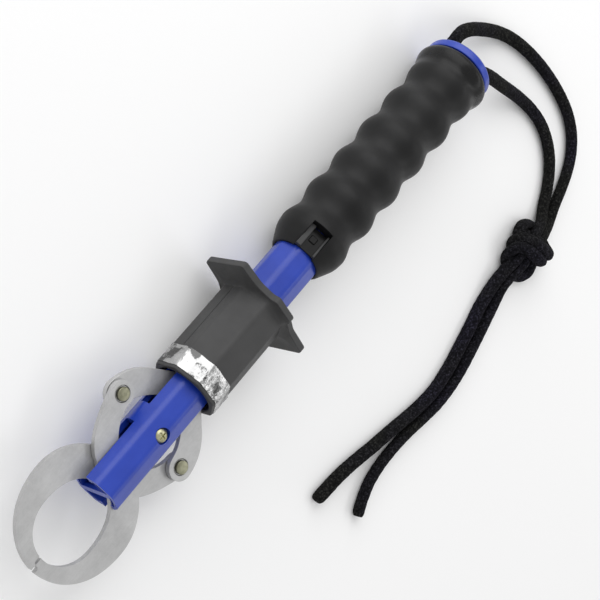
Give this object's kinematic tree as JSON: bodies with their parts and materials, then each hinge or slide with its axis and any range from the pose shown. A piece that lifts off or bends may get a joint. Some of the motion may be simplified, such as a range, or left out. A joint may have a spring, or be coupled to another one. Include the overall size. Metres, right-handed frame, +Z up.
{
  "type": "fish lip gripper",
  "caption": "Hand-held fish lip gripper: two hooked steel jaws on a blue tube, a sliding trigger sleeve that opens them, a ribbed rubber grip and a knotted cord.",
  "frame": {"origin": "on the surface the tool lies on, below the middle of the closed tool, the free cord not counted", "axes": "+X along the tool's axis from the jaws towards the handle, +Z up, at right angles to the jaws' flat plates"},
  "size_m": [0.3109, 0.1384, 0.032],
  "materials": {
    "tube_blue": "glossy moulded blue",
    "sleeve_grey": "satin dark grey",
    "grip_rubber": "soft matte black",
    "jaw_steel": "fine brushed stainless",
    "zinc_steel": "yellow zinc plated",
    "pin_steel": "turned stainless",
    "inner_plastic": "moulded black",
    "band_foil": "crinkled plain silver foil",
    "cord_black": "braided black polyester"
  },
  "bodies": {
    "body": {"body_tube": "tube_blue", "nose_screw": "zinc_steel", "nose_nut": "zinc_steel", "anchor_pin": "pin_steel", "spring_seat": "inner_plastic", "grip": "grip_rubber", "grip_key": "inner_plastic", "end_cap": "tube_blue", "lanyard_bight": "cord_black", "lanyard_leg_left": "cord_black", "lanyard_leg_right": "cord_black", "lanyard_knot": "cord_black", "lanyard_tail_left": "cord_black", "lanyard_tail_right": "cord_black"},
    "trigger": {"trigger_sleeve": "sleeve_grey", "label_band": "band_foil", "drive_pin": "pin_steel", "pull_yoke": "inner_plastic", "yoke_pin": "pin_steel", "strap_upper": "jaw_steel", "strap_lower": "jaw_steel", "cross_pin": "pin_steel", "return_spring": "pin_steel"},
    "link_left": {"link_left": "jaw_steel", "rivet_left": "zinc_steel"},
    "link_right": {"link_right": "jaw_steel", "rivet_right": "zinc_steel"},
    "jaw_right": {"jaw_right": "jaw_steel"},
    "jaw_left": {"jaw_left": "jaw_steel"}
  },
  "joints": [
    {"name": "trigger_slide", "type": "slide", "parent": "body", "child": "trigger", "axis": [1, 0, 0], "range_m": [0, 0.01], "stiffness_N_per_m": 800, "springref_m": -0.006, "deforming": ["return_spring"]},
    {"name": "link_left_pivot", "type": "hinge", "parent": "body", "child": "link_left", "pos_m": [-0.0483, 0, 0.016], "axis": [0, 0, 1], "range_deg": [-13.4, 0]},
    {"name": "link_right_pivot", "type": "hinge", "parent": "body", "child": "link_right", "pos_m": [-0.0483, 0, 0.016], "axis": [0, 0, 1], "range_deg": [0, 13.4]},
    {"name": "jaw_right_pivot", "type": "hinge", "parent": "link_left", "child": "jaw_right", "pos_m": [-0.0684, 0.01855, 0.016], "axis": [0, 0, 1], "range_deg": [0, 28.2]},
    {"name": "jaw_left_pivot", "type": "hinge", "parent": "link_right", "child": "jaw_left", "pos_m": [-0.0684, -0.01855, 0.016], "axis": [0, 0, 1], "range_deg": [-28.2, 0]}
  ],
  "couplings": [
    {"joint": "link_left_pivot", "follows": "trigger_slide", "rad_per_m": -23.2},
    {"joint": "link_right_pivot", "follows": "trigger_slide", "rad_per_m": 23.2},
    {"joint": "jaw_right_pivot", "follows": "trigger_slide", "rad_per_m": 49.06},
    {"joint": "jaw_left_pivot", "follows": "trigger_slide", "rad_per_m": -49.06}
  ]
}
